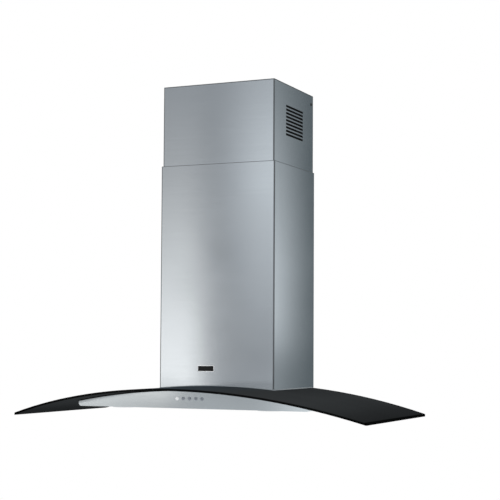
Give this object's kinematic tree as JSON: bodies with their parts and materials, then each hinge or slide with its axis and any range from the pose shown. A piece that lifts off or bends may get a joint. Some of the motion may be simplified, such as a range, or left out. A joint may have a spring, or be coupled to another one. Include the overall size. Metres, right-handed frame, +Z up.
{
  "type": "curved glass range hood",
  "caption": "Wall-mounted cooker hood with an arched dark glass canopy, a stainless body with push buttons and a telescopic square chimney.",
  "frame": {"origin": "on the wall plane, on the centre line, level with the crown of the glass, on the back of the wall plate", "axes": "+X to the right of someone who faces the hood, +Y into the wall, +Z up"},
  "size_m": [0.898, 0.5, 0.8102],
  "materials": {
    "tinted_glass": "polished",
    "brushed_stainless": "brushed",
    "galvanised": "satin",
    "black_foam": "matt",
    "aluminium": "satin",
    "chrome_trim": "polished",
    "lens_glass": "frosted",
    "white_plastic": "gloss",
    "dark_plastic": "satin",
    "black_plastic": "matt",
    "grey_plastic": "matt",
    "nylon": "matt",
    "machined_steel": "turned",
    "board": "matt",
    "badge_black": "gloss",
    "brass_bush": "turned"
  },
  "bodies": {
    "hood": {"glass_canopy": "tinted_glass", "glass_seal": "black_foam", "front_fascia": "brushed_stainless", "body_top": "galvanised", "rear_panel": "galvanised", "lamp_panel": "brushed_stainless", "filter_carrier": "brushed_stainless", "filter_clips": "nylon", "switch_block": "black_plastic", "motor_box": "galvanised", "motor_box_cover": "galvanised", "scroll_left": "grey_plastic", "scroll_right": "grey_plastic", "motor_body": "galvanised", "motor_bearings": "brass_bush", "motor_bracket": "galvanised", "outlet_collar": "black_plastic", "flap_pin": "machined_steel", "control_box": "grey_plastic", "control_box_lid": "grey_plastic", "circuit_board": "board", "cable_gland": "black_plastic", "capacitor": "white_plastic", "capacitor_clip": "machined_steel", "lower_chimney": "brushed_stainless", "slide_guides": "nylon", "chimney_tabs": "galvanised", "badge_plate": "badge_black", "glass_screws": "machined_steel", "body_bolts": "machined_steel", "lamp_ring_left": "chrome_trim", "lamp_lens_left": "lens_glass", "lamp_body_left": "white_plastic", "lamp_ring_right": "chrome_trim", "lamp_lens_right": "lens_glass", "lamp_body_right": "white_plastic"},
    "upper_cover": {"upper_chimney": "brushed_stainless", "chimney_bracket": "galvanised", "chimney_screws": "machined_steel"},
    "fan": {"fan_wheel": "galvanised", "fan_blades": "galvanised", "fan_ring_left": "galvanised", "fan_ring_right": "galvanised", "fan_nut": "machined_steel", "motor_shaft": "machined_steel"},
    "damper_left": {"damper_flap_left": "black_plastic"},
    "damper_right": {"damper_flap_right": "black_plastic"},
    "push_light": {"button_light": "white_plastic"},
    "push_off": {"button_off": "dark_plastic"},
    "push_low": {"button_low": "dark_plastic"},
    "push_medium": {"button_medium": "dark_plastic"},
    "push_high": {"button_high": "dark_plastic"},
    "filter_left": {"filter_frame_left": "aluminium", "filter_mesh_left": "aluminium"},
    "latch_left": {"filter_latch_left": "black_plastic"},
    "filter_right": {"filter_frame_right": "aluminium", "filter_mesh_right": "aluminium"},
    "latch_right": {"filter_latch_right": "black_plastic"}
  },
  "joints": [
    {"name": "cover_slide", "type": "slide", "parent": "hood", "child": "upper_cover", "axis": [0, 0, 1], "range_m": [-0.17, 0.2]},
    {"name": "fan_spin", "type": "hinge", "parent": "hood", "child": "fan", "pos_m": [0, -0.132, 0.112], "axis": [1, 0, 0], "continuous": true},
    {"name": "damper_left_swing", "type": "hinge", "parent": "hood", "child": "damper_left", "pos_m": [0, -0.1, 0.2392], "axis": [0, 1, 0], "range_deg": [0, 75]},
    {"name": "damper_right_swing", "type": "hinge", "parent": "hood", "child": "damper_right", "pos_m": [0, -0.1, 0.2392], "axis": [0, -1, 0], "range_deg": [0, 75]},
    {"name": "press_light", "type": "slide", "parent": "hood", "child": "push_light", "axis": [0, 1, 0], "range_m": [0, 0.0025], "stiffness_N_per_m": 400},
    {"name": "press_off", "type": "slide", "parent": "hood", "child": "push_off", "axis": [0, 1, 0], "range_m": [0, 0.0025], "stiffness_N_per_m": 400},
    {"name": "press_low", "type": "slide", "parent": "hood", "child": "push_low", "axis": [0, 1, 0], "range_m": [0, 0.0025], "stiffness_N_per_m": 400},
    {"name": "press_medium", "type": "slide", "parent": "hood", "child": "push_medium", "axis": [0, 1, 0], "range_m": [0, 0.0025], "stiffness_N_per_m": 400},
    {"name": "press_high", "type": "slide", "parent": "hood", "child": "push_high", "axis": [0, 1, 0], "range_m": [0, 0.0025], "stiffness_N_per_m": 400},
    {"name": "filter_left_drop", "type": "hinge", "parent": "hood", "child": "filter_left", "pos_m": [-0.146, -0.03, -0.0438], "axis": [1, 0, 0], "range_deg": [0, 70]},
    {"name": "latch_left_slide", "type": "slide", "parent": "filter_left", "child": "latch_left", "axis": [0, -1, 0], "range_m": [0, 0.004]},
    {"name": "filter_right_drop", "type": "hinge", "parent": "hood", "child": "filter_right", "pos_m": [0.146, -0.03, -0.0438], "axis": [1, 0, 0], "range_deg": [0, 70]},
    {"name": "latch_right_slide", "type": "slide", "parent": "filter_right", "child": "latch_right", "axis": [0, -1, 0], "range_m": [0, 0.004]}
  ]
}
